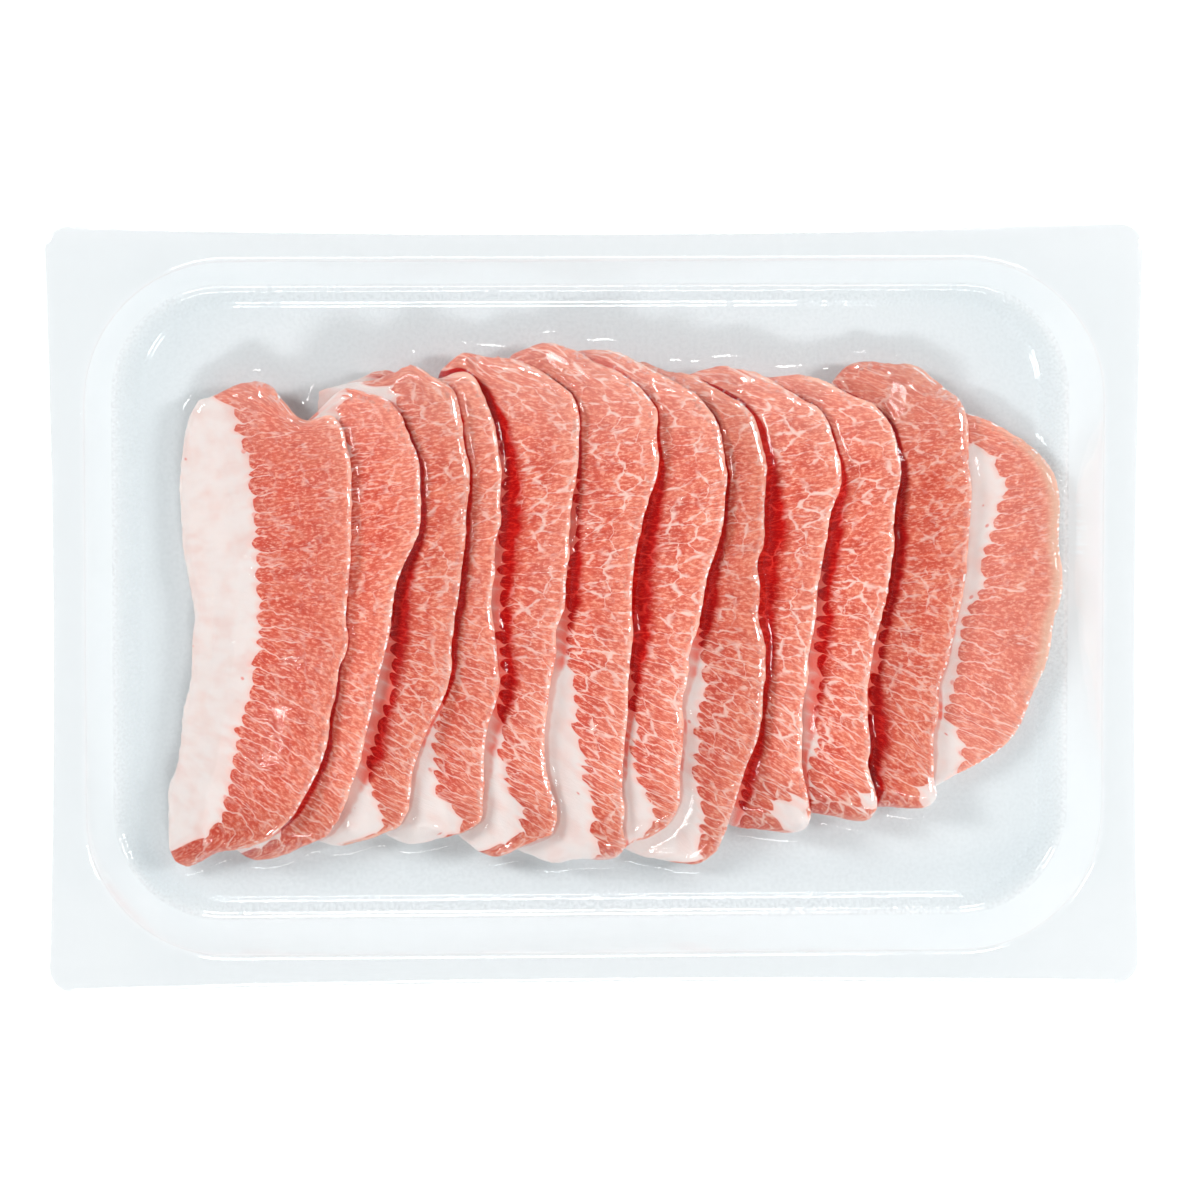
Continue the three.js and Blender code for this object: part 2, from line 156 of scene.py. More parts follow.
def fillet(line, radius, start, end, inwards, base, steps=5):
    """Lines on a rounded bend that starts at angle start and ends at angle end, in degrees."""
    bend = []
    for step in range(steps + 1):
        angle = math.radians(start + (end - start) * step / steps)
        out = radius * math.sin(angle) * inwards
        rise = radius * (1 - math.cos(angle)) * inwards
        bend.append((line[0] + out, line[1] + out, line[2] + out, base + rise))
    return bend


tray_lines = [tuple(size * MM for size in line) for line in FLOOR_LINES]
tray_lines += fillet(FOOT, FOOT_BEND, FOOT_SLOPE, WALL_SLOPE, 1, FOOT_HEIGHT)
top_end = tuple(size + TOP_SPREAD for size in WALL_TOP)
tray_lines += fillet(top_end, TOP_BEND, WALL_SLOPE, 0, -1, flange_top)
for inset, drop in EDGE_LINES:
    edge_length, edge_width = half_length - inset * MM, half_width - inset * MM
    tray_lines.append((edge_length, edge_width, OUTER_CORNER, flange_top - drop * MM))

bpy.ops.object.select_all(action="DESELECT")
bpy.ops.mesh.primitive_plane_add(size=1 * MM)
tray = bpy.context.object
tray.name = "tray_shell"
bpy.ops.object.mode_set(mode="EDIT")
bpy.ops.mesh.delete(type="VERT")
tray_mesh = bmesh.from_edit_mesh(tray.data)
line_number = tray_mesh.verts.layers.int.new("line_number")


def ring_of(mesh, number):
    """The vertices of one line, in order round the tray."""
    layer = mesh.verts.layers.int.get("line_number")
    ring = [vert for vert in mesh.verts if vert[layer] == number]
    return sorted(ring, key=lambda vert: (math.atan2(vert.co.y, vert.co.x) + 0.001) % math.tau)


# Each line starts as a rectangle, gets its corners rounded, and is joined to the line before it.
SHORTEST_SIDE = 30 * MM
for number, (length, width, radius, height) in enumerate(tray_lines, 1):
    bpy.ops.mesh.select_mode(type="VERT")
    bpy.ops.mesh.select_all(action="DESELECT")
    bpy.ops.mesh.primitive_plane_add(size=2, location=(0, 0, height))
    bpy.ops.transform.resize(value=(length, width, 1), center_override=(0, 0, height))
    bpy.ops.mesh.bevel(affect="VERTICES", offset=radius, segments=CORNER_STEPS)
    bpy.ops.mesh.select_mode(type="EDGE")
    tray_mesh = bmesh.from_edit_mesh(tray.data)
    for edge in tray_mesh.edges:
        edge.select_set(edge.select and edge.calc_length() > SHORTEST_SIDE)
    bmesh.update_edit_mesh(tray.data)
    bpy.ops.mesh.subdivide(number_cuts=SIDE_STEPS)
    tray_mesh = bmesh.from_edit_mesh(tray.data)
    line_number = tray_mesh.verts.layers.int.get("line_number")
    for vert in tray_mesh.verts:
        if vert[line_number] == 0:
            vert[line_number] = number
    if number > 1:
        lids = [f for f in tray_mesh.faces if all(v[line_number] == number for v in f.verts)]
        bmesh.ops.delete(tray_mesh, geom=lids, context="FACES_ONLY")
        inner, outer = ring_of(tray_mesh, number - 1), ring_of(tray_mesh, number)
        for place in range(len(inner)):
            tray_mesh.faces.new((inner[place - 1], outer[place - 1], outer[place], inner[place]))
    bmesh.update_edit_mesh(tray.data)

bpy.ops.mesh.select_all(action="SELECT")
bpy.ops.mesh.normals_make_consistent(inside=False)
bpy.ops.object.mode_set(mode="OBJECT")


def points_of(mesh):
    """The places of a mesh's vertices, one to a row."""
    flat = np.zeros(len(mesh.vertices) * 3)
    mesh.vertices.foreach_get("co", flat)
    return flat.reshape(-1, 3)


def bow_sides(places):
    """Draws the flange's outer sides in between its corners, least at the flange's inner line."""
    reach_x = np.clip((np.abs(places[:, 0]) - WALL_TOP[0]) / (half_length - WALL_TOP[0]), 0, 1)
    reach_y = np.clip((np.abs(places[:, 1]) - WALL_TOP[1]) / (half_width - WALL_TOP[1]), 0, 1)
    along_x = 1 - np.clip(np.abs(places[:, 0]) / half_length, 0, 1) ** 2
    along_y = 1 - np.clip(np.abs(places[:, 1]) / half_width, 0, 1) ** 2
    places[:, 0] -= np.sign(places[:, 0]) * SIDE_BOW * reach_x * along_y
    places[:, 1] -= np.sign(places[:, 1]) * SIDE_BOW * reach_y * along_x


# The die-cut sides of the flange bow in a little between the corners.
places = points_of(tray.data)
bow_sides(places)
tray.data.vertices.foreach_set("co", places.ravel())
if sum(face.normal.z * face.area for face in tray.data.polygons) < 0:
    tray.data.flip_normals()


def apply_modifier(piece, kind, **settings):
    """Adds a modifier to the piece, sets it up and applies it."""
    bpy.context.view_layer.objects.active = piece
    modifier = piece.modifiers.new(kind.lower(), kind)
    for name, value in settings.items():
        setattr(modifier, name, value)
    bpy.ops.object.modifier_apply(modifier=modifier.name)


def shade_smooth_below(piece, angle):
    """Smooths the piece's shading, except over edges sharper than the angle."""
    bpy.ops.object.select_all(action="DESELECT")
    piece.select_set(True)
    bpy.context.view_layer.objects.active = piece
    bpy.ops.object.shade_smooth_by_angle(angle=angle)


apply_modifier(tray, "SOLIDIFY", thickness=TRAY_SHEET, offset=-1)
shade_smooth_below(tray, SMOOTH_BELOW)


def colour(red, green, blue):
    """A colour from its 0 to 255 values as seen, in the linear values that shaders take."""
    linear = []
    for value in (red, green, blue):
        share = value / 255
        linear.append(share / 12.92 if share <= 0.04045 else ((share + 0.055) / 1.055) ** 2.4)
    return (*linear, 1)


def put(tree, kind, inputs=None, **settings):
    """Adds a shader node, sets it up, and sets or links its inputs."""
    node = tree.nodes.new(kind)
    for name, value in settings.items():
        setattr(node, name, value)
    for name, value in (inputs or {}).items():
        if isinstance(value, bpy.types.NodeSocket):
            tree.links.new(value, node.inputs[name])
        else:
            node.inputs[name].default_value = value
    return node


def maths(tree, operation, first, second=0.0, third=0.0, clamp=False):
    """The result of a sum with up to three values, as a socket."""
    inputs = {0: first, 1: second, 2: third}
    node = put(tree, "ShaderNodeMath", inputs, operation=operation)
    node.use_clamp = clamp
    return node.outputs[0]


def step_between(tree, value, low, high, at_low=0.0, at_high=1.0):
    """Goes smoothly from at_low to at_high as the value goes from low to high."""
    ramp = put(
        tree,
        "ShaderNodeMapRange",
        {"Value": value, "From Min": low, "From Max": high, "To Min": at_low, "To Max": at_high},
        interpolation_type="SMOOTHSTEP",
    )
    return ramp.outputs["Result"]


def axes_of(tree, vector):
    """The three values of a vector, as sockets."""
    return put(tree, "ShaderNodeSeparateXYZ", {0: vector}).outputs


def noise(tree, place, size, detail=2.0, roughness=0.5):
    """A noise whose patches measure about size, in the unit that the place is in."""
    inputs = {"Vector": place, "Scale": 1 / size, "Detail": detail, "Roughness": roughness}
    return put(tree, "ShaderNodeTexNoise", inputs, noise_dimensions="2D").outputs["Fac"]


def new_material(name):
    """An empty material: returns it, its node tree and its output node."""
    made = bpy.data.materials.new(name)
    made.use_nodes = True
    tree = made.node_tree
    tree.nodes.clear()
    return made, tree, tree.nodes.new("ShaderNodeOutputMaterial")


def clear_plastic(name, tint, haze, haze_share, gleam, roughness, bump_size, bump_depth):
    """A clear sheet: tinted where looked through, a little haze in it, and gloss on its surface.

    Plastic shines most where it is seen at a slant. Only what the eye meets first has gloss and
    haze: light passes on its way through, and so does a look at the sheet's inner side.
    """
    made, tree, output = new_material(name)
    place = put(tree, "ShaderNodeTexCoord").outputs["Object"]
    ripples = noise(tree, place, bump_size, 3.0, 0.55)
    relief = put(
        tree, "ShaderNodeBump", {"Height": ripples, "Distance": bump_depth, "Strength": 1.0}
    )
    clear = put(tree, "ShaderNodeBsdfTransparent", {"Color": tint})
    soft = put(tree, "ShaderNodeBsdfDiffuse", {"Color": haze})
    shine = put(
        tree,
        "ShaderNodeBsdfAnisotropic",
        {"Color": (1, 1, 1, 1), "Roughness": roughness, "Normal": relief.outputs[0]},
    )
    slant = put(tree, "ShaderNodeLayerWeight", {"Blend": 0.5, "Normal": relief.outputs[0]})
    steep = maths(tree, "POWER", slant.outputs["Facing"], 5.0)
    shine_share = maths(tree, "ADD", steep, gleam(tree, place), clamp=True)
    inner_side = put(tree, "ShaderNodeNewGeometry").outputs["Backfacing"]
    seen = put(tree, "ShaderNodeLightPath").outputs["Is Camera Ray"]

    def mixed(share, first, second):
        return put(
            tree, "ShaderNodeMixShader", {0: share, 1: first.outputs[0], 2: second.outputs[0]}
        )

    hazy = mixed(haze_share(tree, place), clear, soft)
    outer_side = mixed(inner_side, mixed(shine_share, hazy, shine), clear)
    sheet = mixed(seen, clear, outer_side)
    tree.links.new(sheet.outputs[0], output.inputs["Surface"])
    return made


def frosted_floor(tree, place):
    """Haze on the floor of the dish, in a fine grain, a little on the wall, more on the flange."""
    grain = noise(tree, place, 0.9 * MM, 2.0, 0.6)
    height = axes_of(tree, place)["Z"]
    low_down = step_between(tree, height, 1.2 * MM, 1.9 * MM, 1.0, 0.0)
    speckle = step_between(tree, grain, 0.35, 0.7, 0.02, 0.12)
    high_up = step_between(tree, height, 18.5 * MM, 19.4 * MM, 0.035, 0.19)
    return maths(tree, "MULTIPLY_ADD", low_down, speckle, high_up)


TRAY_GLOSS = 0.045


def even_gloss(tree, place):
    return TRAY_GLOSS


tray.data.materials.clear()
tray.data.materials.append(
    clear_plastic(
        "clear_tray_sheet",
        tint=(0.956, 0.966, 0.969, 1),
        haze=colour(205, 211, 214),
        haze_share=frosted_floor,
        gleam=even_gloss,
        roughness=0.1,
        bump_size=14 * MM,
        bump_depth=0.25 * MM,
    )
)
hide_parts("tray")
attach(tray, "root")

# ---- The slices -------------------------------------------------------------------------------
# Twelve slices cut across a raw pork jowl, shingled so that each hides the fat of the next. On the
# left of each is a band of smooth back fat. The rest is lean, whose bundles end in round lobes
# against the fat, with pale threads between them and a net of fine marbling.

# How wide the lean is on each slice, and how far the painted shade, a deep red, reaches out of
# the crease under the slice above it, in millimetres at twelve stations from the top of the pack
# to the bottom.
STATIONS = np.array([62, 54, 36, 18, 0, -9, -18, -27, -36, -45, -54, -62]) * MM
LEAN_WIDTHS = {
    "slice_01": (20, 24, 24.7, 22.5, 21.3, 20.8, 20.4, 21, 21.5, 18.5, 15.2, 13),
    "slice_02": (12, 14, 16, 18, 18, 18, 18, 18, 17, 14.5, 12, 11),
    "slice_03": (14, 14, 15, 16, 16.5, 14.3, 13.6, 12.8, 10.9, 10, 2.5, 0),
    "slice_04": (17, 17, 17, 16, 14, 14, 13.5, 12.6, 11.6, 10.8, 2.5, 0),
    "slice_05": (30, 28, 17.5, 16.5, 15.2, 13, 11.6, 10.8, 10.5, 9.6, 7.6, 6),
    "slice_06": (22, 22, 21, 15, 16.8, 14.5, 13.4, 12.2, 10.5, 7.2, 7.4, 6),
    "slice_07": (22, 22, 22, 21.5, 18, 16, 13.2, 11.7, 11.3, 8.3, 2, 0),
    "slice_08": (18, 18, 18, 16, 15, 15.4, 14.3, 14.8, 13.4, 9.5, 6, 4),
    "slice_09": (20, 20, 20, 18, 14.5, 13, 12.5, 12.5, 13.5, 16, 16, 16),
    "slice_10": (20, 20, 20, 19, 15.5, 13.4, 12.4, 12.6, 14, 15, 15, 15),
    "slice_11": (30, 27, 22, 20, 19.5, 17, 16.5, 17, 17.5, 17, 17, 17),
    "slice_12": (60, 32, 11.5, 16, 21, 22, 21.5, 20, 9.7, -4, -4, -4),
}
PAINTED_SHADE_REACHES = {
    "slice_01": (0.1,) * 12,
    "slice_02": (0.3, 0.3, 0.3, 0.4, 0.5, 0.6, 0.9, 1.2, 1.8, 2.2, 1.8, 1.2),
    "slice_03": (0.4, 0.4, 0.9, 2.2, 5.5, 6.0, 6.5, 6.0, 7.0, 3.0, 1.5, 1.0),
    "slice_04": (0.4, 0.5, 0.8, 1.6, 2.4, 1.8, 1.4, 1.2, 1.2, 1.0, 1.0, 1.0),
    "slice_05": (0.8, 2.4, 5.5, 7.0, 6.0, 5.0, 5.5, 5.0, 3.0, 1.5, 1.0, 1.0),
    "slice_06": (0.4, 0.5, 1.0, 3.4, 5.0, 4.0, 2.0, 1.4, 1.2, 1.0, 1.0, 1.0),
    "slice_07": (0.4, 0.5, 1.4, 6.2, 6.6, 5.4, 4.0, 1.8, 1.2, 1.0, 1.0, 1.0),
    "slice_08": (0.4, 0.5, 0.8, 1.6, 5.0, 4.0, 2.0, 1.2, 1.0, 1.0, 1.0, 1.0),
    "slice_09": (0.4, 0.7, 3.0, 7.5, 6.0, 4.0, 2.2, 1.6, 3.5, 5.0, 3.0, 1.0),
    "slice_10": (0.4, 0.4, 1.0, 5.0, 5.0, 6.5, 6.5, 5.0, 2.0, 1.0, 1.0, 1.0),
    "slice_11": (0.4, 0.6, 1.6, 4.0, 4.0, 3.5, 4.0, 6.5, 5.5, 3.0, 1.0, 1.0),
    "slice_12": (0.4, 0.4, 0.4, 0.4, 0.5, 0.6, 0.9, 1.3, 1.5, 1.0, 0.6, 0.4),
}
# Up to the first of these reaches there is no painted shade at all. Over the second, it grows to
# full depth.
LEAST_PAINTED_SHADE, FULL_PAINTED_SHADE = 0.3, 0.9
# The fibres lie level at the top of the pack and slope down to the right further down.
FIBRE_SLOPES = (0.05, 0.05, 0.15, 0.12, -0.05, -0.17, -0.3, -0.4, -0.5, -0.53, -0.55, -0.55)
# Ends that curl, bulge or draw in: the place in millimetres, how far it reaches, and its shift.
NUDGES = {
    "slice_01": [(-69.5, 52, 6.5, 0, -6.5, -0.5), (-86, 50, 7, 0, 1, 0.8)],
    "slice_02": [(-73, 53, 9, 0, -10, -0.5), (-60, 51, 4, 0, 1.5, 0.8)],
    "slice_03": [(-43, 55, 4, 0, 2.6, 1.0), (-54, 54, 5, 0, -1.5, 0)],
    "slice_04": [(-30, 55, 4, 0, 1.5, 0.6)],
    "slice_05": [(-31, 56, 4.5, 0, 3.0, 1.2)],
    "slice_06": [(-12, 60, 5, 0, 1.2, 0.8), (-10, -62, 5, 0, -1.5, 0.4)],
    "slice_07": [(4, 58, 5, 0, 1.0, 0.8), (4, -60, 4, 0, -2.0, 0.3)],
    "slice_08": [(24, -60, 5, 1.0, -2.0, 0.3)],
    "slice_09": [(32, 56, 4, 0, 1.0, 0.8), (48, -52, 4, 1.0, -1.0, 1.2)],
    "slice_10": [(64, -48, 4, 1.5, -1.0, 1.0)],
    "slice_11": [(63, 55, 5, -1.5, 1.5, 1.2), (81, 50, 5, 0, -1.5, 0), (80, -47, 4, 2, -1, 1.0)],
    "slice_12": [(95, 46, 7, 0, 1.5, 0.3), (104, -22, 4, -1.2, 0, 0), (84, -48, 6, 0, -1.5, 0)],
}
# Knobs of white fat at the ends: the place in millimetres and the size.
FAT_KNOBS = {
    "slice_02": (-63, 52, 4),
    "slice_09": (47.6, -50.5, 4.5),
    "slice_10": (65.5, -46.5, 3.2),
    "slice_11": (80.5, -46.5, 3.6),
}
NO_KNOB = (0, 0, -100)
KNOB_SOFTNESS = 0.8
# How strong the net of marbling is on each slice and how dark its lean is, from first to last.
NETTING = (0.3, 0.4, 0.75, 0.7, 0.85, 0.95, 0.95, 0.85, 1.0, 0.95, 0.7, 0.15)
TONES = (0.15, 0, 0.35, 0.2, 0.1, 0.05, 0, 0.45, 0, 0, 0.45, 0.15)
# The last slice is paler, and dries to tan along the upper part of its free edge.
PALE_SLICE = "slice_12"
PALLOR = 0.2
TAN_ENDS = (-24 * MM, -16 * MM, 34 * MM, 44 * MM)
# How far apart the patterns of two slices are taken from, in millimetres.
PATTERN_SHIFT = 157

# How uneven the cut edges are, how many millimetres apart, and over how many they are eased. The
# last few millimetres at each end keep to the solid, and the easing sets in over the next few.
# The outlines are read up to a small margin before the ends.
CUT_UNEVENNESS = 0.45 * MM
CUT_SPACING = 6
CUT_EASING = 5
CUT_KEPT, CUT_SETS_IN = 4, 8
END_MARGIN = 0.2 * MM
END_UNEVENNESS = 1.6
END_REACH = 14 * MM
END_SEED = 60

# The slices' mesh: its grain, and the size, depth and detail of the bumps on the faces.
SLICE_GRAIN = 0.6 * MM
ROUNDING = 10
BUMPS = ((7 * MM, 0.5 * MM, 1), (2.2 * MM, 0.22 * MM, 2))


def at_stations(y, values):
    """The values given at the stations, as they are at each y."""
    return np.interp(-y, -STATIONS, np.array(values))


def smoothed(values, reach):
    """The values averaged with those up to reach places before and after."""
    padded = np.pad(values, reach, mode="reflect", reflect_type="odd")
    return np.convolve(padded, np.ones(2 * reach + 1) / (2 * reach + 1), mode="valid")


def wobble(seed, length):
    """A line of small uneven shifts, a millimetre apart."""
    knots = np.random.default_rng(seed).normal(0, CUT_UNEVENNESS, length // CUT_SPACING + 2)
    return smoothed(np.interp(np.arange(length) / CUT_SPACING, np.arange(len(knots)), knots), 2)


def outline_of(node, seed):
    """The slice's left and right edges seen from above, at stations a millimetre apart.

    Each edge is there as the solid's facets have it, and cut as a knife leaves it, curved and a
    little uneven.
    """
    corners = np.array([vert.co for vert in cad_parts[node].data.vertices])
    ends = np.array([edge.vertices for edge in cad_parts[node].data.edges])
    first, second = corners[ends[:, 0]], corners[ends[:, 1]]
    lowest, highest = corners[:, 1].min() + END_MARGIN, corners[:, 1].max() - END_MARGIN
    stations = np.arange(lowest, highest, 1 * MM)
    left, right = [], []
    for station in stations:
        crossing = (first[:, 1] - station) * (second[:, 1] - station) <= 0
        a, b = first[crossing], second[crossing]
        share = (station - a[:, 1]) / np.where(b[:, 1] == a[:, 1], 1, b[:, 1] - a[:, 1])
        places = a[:, 0] + np.clip(share, 0, 1) * (b[:, 0] - a[:, 0])
        left.append(places.min())
        right.append(places.max())
    order = np.arange(len(stations))
    away_from_ends = np.clip((np.minimum(order, order[::-1]) - CUT_KEPT) / CUT_SETS_IN, 0, 1)
    outline = {"stations": stations, "left": np.array(left), "right": np.array(right)}
    for number, side in enumerate(("left", "right")):
        edge = outline[side]
        eased = smoothed(edge, CUT_EASING) + wobble(2 * seed + number, len(stations))
        outline[f"cut_{side}"] = edge + (eased - edge) * away_from_ends
    return outline


def edge_at(name, side, y):
    """Where one edge of a slice lies at each y."""
    return np.interp(y, outlines[name]["stations"], outlines[name][side])


def fine_form(name):
    """The slice's solid as a fine mesh with soft edges and faintly uneven faces."""
    bpy.ops.object.select_all(action="DESELECT")
    piece = bpy.data.objects.new(f"{name}_meat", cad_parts[name].data.copy())
    bpy.context.scene.collection.objects.link(piece)
    piece.select_set(True)
    bpy.context.view_layer.objects.active = piece
    bpy.ops.object.mode_set(mode="EDIT")
    bpy.ops.mesh.select_all(action="SELECT")
    bpy.ops.mesh.remove_doubles(threshold=0.01 * MM)
    bpy.ops.object.mode_set(mode="OBJECT")
    apply_modifier(piece, "REMESH", mode="VOXEL", voxel_size=SLICE_GRAIN)
    apply_modifier(piece, "SMOOTH", factor=0.5, iterations=ROUNDING)
    for size, strength, detail in BUMPS:
        relief = bpy.data.textures.new(f"{name}_relief_{detail}", "CLOUDS")
        relief.noise_scale = size
        relief.noise_depth = detail
        apply_modifier(
            piece, "DISPLACE", texture=relief, strength=strength, mid_level=0.25, direction="NORMAL"
        )
    bpy.ops.object.shade_smooth()
    return piece


def cut_unevenly(places, name, number):
    """Moves the slice's points so that its edges and ends are as uneven as a knife leaves them."""
    left, right, cut_left, cut_right = (
        edge_at(name, side, places[:, 1]) for side in ("left", "right", "cut_left", "cut_right")
    )
    share = np.clip((places[:, 0] - left) / np.maximum(right - left, MM), 0, 1)
    places[:, 0] += (cut_left - left) * (1 - share) ** 2 + (cut_right - right) * share**2
    span = np.arange(places[:, 0].min(), places[:, 0].max(), 1 * MM)
    for side, end in ((1, places[:, 1].max()), (-1, places[:, 1].min())):
        near_end = np.clip(1 - side * (end - places[:, 1]) / END_REACH, 0, 1)
        line = wobble(END_SEED + 2 * number + side, len(span))
        uneven = np.interp(places[:, 0], span, line)
        places[:, 1] += END_UNEVENNESS * uneven * near_end


def write_attribute(mesh, name, kind, values):
    """Keeps a value or a vector for each point of the mesh, which a material can read."""
    attribute = mesh.attributes.new(name, kind, "POINT")
    key = "vector" if kind == "FLOAT_VECTOR" else "value"
    attribute.data.foreach_set(key, np.ascontiguousarray(values, np.float32).ravel())


def write_flesh(mesh, places, name, number):
    """Writes at each point how far it lies past the fat, along the slice, from the free edge and
    beyond the knob of fat, and what the slice's meat is like."""
    x, y, z = places.T
    free_edge = edge_at(name, "cut_right", y)
    past_fat = (x - free_edge) / MM + at_stations(y, LEAN_WIDTHS[name])
    knob_x, knob_y, size = FAT_KNOBS.get(name, NO_KNOB)
    beyond_knob = (np.hypot(x / MM - knob_x, y / MM - knob_y) - size) * KNOB_SOFTNESS
    along = y / MM - at_stations(y, FIBRE_SLOPES) * past_fat
    flesh = np.stack([past_fat, along + PATTERN_SHIFT * number, z / MM], axis=1)
    netting = np.full(len(x), NETTING[number - 1])
    pallor = np.full(len(x), PALLOR if name == PALE_SLICE else 0.0)
    tan = np.interp(y, TAN_ENDS, (0, 1, 1, 0)) * (pallor > 0)
    write_attribute(mesh, "flesh", "FLOAT_VECTOR", flesh)
    write_attribute(mesh, "make_up", "FLOAT_VECTOR", np.stack([netting, pallor, tan], axis=1))
    write_attribute(mesh, "tone", "FLOAT", np.full(len(x), TONES[number - 1]))
    write_attribute(mesh, "rim", "FLOAT", (free_edge - x) / MM)
    write_attribute(mesh, "beyond_knob", "FLOAT", beyond_knob)


def write_shade(mesh, places, name, neighbour):
    """Writes how deep in the crease under the slice above it each point lies, for the shade that
    the material paints there.
    """
    x, y = places[:, 0], places[:, 1]
    shade = np.zeros(len(x))
    if neighbour:
        stations = outlines[neighbour]["stations"]
        level = np.clip(y, stations.min(), stations.max())
        beyond_edge = np.maximum(x - edge_at(neighbour, "cut_right", level), 0)
        beyond = np.hypot(beyond_edge, y - level)
        reach = at_stations(y, PAINTED_SHADE_REACHES[name])
        shade = (1 - beyond / MM / reach) * np.clip((reach - LEAST_PAINTED_SHADE) / FULL_PAINTED_SHADE, 0, 1)
    write_attribute(mesh, "shade", "FLOAT", shade)


def nudged(places, name):
    """The points with the slice's ends curled, bulged and drawn in."""
    shift = np.zeros(places.shape)
    for near_x, near_y, size, *move in NUDGES[name]:
        away = ((places[:, 0] / MM - near_x) ** 2 + (places[:, 1] / MM - near_y) ** 2) / size**2
        shift += np.exp(-away)[:, None] * np.array(move) * MM
    return places + shift


# The lean's colours as seen: the flesh from dark to light, redder by the fat and paler by the free
# edge, partly its own colour and partly painted light and shade, its fibres, the upper ends, the
# marbling, the tan edge and the painted light on the rim.
LEAN_DARK, LEAN_MIDDLE, LEAN_LIGHT = (207, 83, 65), (221, 99, 78), (231, 127, 101)
BY_THE_FAT, BY_THE_EDGE = (204, 66, 52), (245, 156, 130)
LIGHT_FIBRES, DARK_FIBRES = (249, 184, 160), (196, 58, 42)
UPPER_ENDS, MARBLING = (243, 188, 170), (250, 218, 206)
TAN_EDGE, PAINTED_RIM_LIGHT = (229, 190, 166), (253, 198, 176)
# The fat's colours as seen: plain, in its pink clouds, in blood spots and next to the lean.
FAT_WHITE, FAT_CLOUD = (231, 218, 213), (229, 203, 196)
BLOOD_SPOT, FAT_BLUSH = (222, 104, 88), (240, 186, 174)
# The white of the painted glints along the cut edge.
GLINT_WHITE = (1, 1, 1, 1)
# What the colours are multiplied by: in the creases for the painted shade, and for the darker
# slices and the painted shade at the lower ends.
SHADE_ON_FAT, SHADE_ON_FAT_BY_LEAN = (0.93, 0.7, 0.66, 1), (0.95, 0.27, 0.22, 1)
SHADE_ON_LEAN, SHADE_ON_FLECKS = (0.6, 0.006, 0.004, 1), (0.78, 0.06, 0.045, 1)
TONE_AND_SHADE_TINT = (0.72, 0.6, 0.55, 1)

# The pattern's sizes in millimetres: the bundles of lean, their lobes in the fat, the threads in
# between them, and the spots, painted glints, blotches and fibres.
BUNDLE_WIDTH, BUNDLE_WANDER = 3.4, 3.6
LOBE_WIDTH, LOBE_BLUNTNESS = 1.3, 0.42
LOBE_LENGTH, LOBE_SPREAD = 1.2, 1.6
FAT_EDGE_WANDER = 2.5
LEAN_STARTS = (1.4, 1.65)
THREAD_REACH, THREAD_HALF_WIDTH = 28.0, (0.04, 0.24)
SPOT_SPACING = 11.0
GLINT_INSET, GLINT_HALF_WIDTH = 0.55, 0.3
MOTTLE_SIZE, MOTTLE_STRETCH = 3.2, (0.5, 1.0, 0.8)
FIBRE_SIZE, FIBRE_STRETCH = 0.6, (0.42, 1.0, 0.8)
# The marbling's nets: the cells' size, their lines' least and greatest width as a share of it, and
# the patches that have lines.
COARSE_NET = {
    "cell_size": (6.2, 3.5, 6.0),
    "widths": (0.02, 0.2),
    "patch_size": 8.0,
    "patches": (0.32, 0.54),
}
WISPS = {
    "cell_size": (6.5, 1.6, 5.0),
    "widths": (0.015, 0.24),
    "patch_size": 5.0,
    "patches": (0.44, 0.66),
}
THREAD_PALENESS, NET_PALENESS, WISP_PALENESS = 0.65, 0.82, 0.5


def product(tree, *shares):
    """The shares multiplied with one another."""
    result = shares[0]
    for share in shares[1:]:
        result = maths(tree, "MULTIPLY", result, share)
    return result


def mix_colours(tree, share, first, second, blend="MIX"):
    """The first colour where the share is 0, blended with the second as it goes to 1."""
    inputs = {"Factor": share, 6: first, 7: second}
    return put(tree, "ShaderNodeMix", inputs, data_type="RGBA", blend_type=blend).outputs[2]


def stretched(tree, place, stretch):
    """The place, multiplied along each of its axes."""
    by = {0: place, 1: stretch}
    return put(tree, "ShaderNodeVectorMath", by, operation="MULTIPLY").outputs[0]


def what_is_written(tree):
    """What write_flesh and write_shade wrote at each point, and how far up the pack it lies."""
    at = {}
    for name in ("rim", "shade", "tone", "beyond_knob"):
        at[name] = put(tree, "ShaderNodeAttribute", attribute_name=name).outputs["Fac"]
    make_up = put(tree, "ShaderNodeAttribute", attribute_name="make_up").outputs["Vector"]
    at["netting"], at["pallor"], at["tan"] = axes_of(tree, make_up)
    at["flesh"] = put(tree, "ShaderNodeAttribute", attribute_name="flesh").outputs["Vector"]
    at["past_fat"], at["along"] = axes_of(tree, at["flesh"])[:2]
    at["up"] = axes_of(tree, put(tree, "ShaderNodeTexCoord").outputs["Object"])["Y"]
    return at


def bundles(tree, at):
    """The bundles of lean, side by side along the slice: how far a point is from the thread
    between two of them, and two values that differ from bundle to bundle."""
    wander = maths(tree, "SUBTRACT", noise(tree, at["flesh"], 6.5, 3.0), 0.5)
    sideways = maths(tree, "MULTIPLY_ADD", wander, BUNDLE_WANDER, at["along"])
    row = {"W": sideways, "Scale": 1 / BUNDLE_WIDTH, "Randomness": 0.9}
    kind = "ShaderNodeTexVoronoi"
    edges = put(tree, kind, row, voronoi_dimensions="1D", feature="DISTANCE_TO_EDGE")
    to_thread = maths(tree, "MULTIPLY", edges.outputs["Distance"], BUNDLE_WIDTH)
    middles = put(tree, kind, row, voronoi_dimensions="1D")
    character = put(tree, "ShaderNodeSeparateColor", {0: middles.outputs["Color"]})
    return to_thread, character.outputs[0], character.outputs[1]


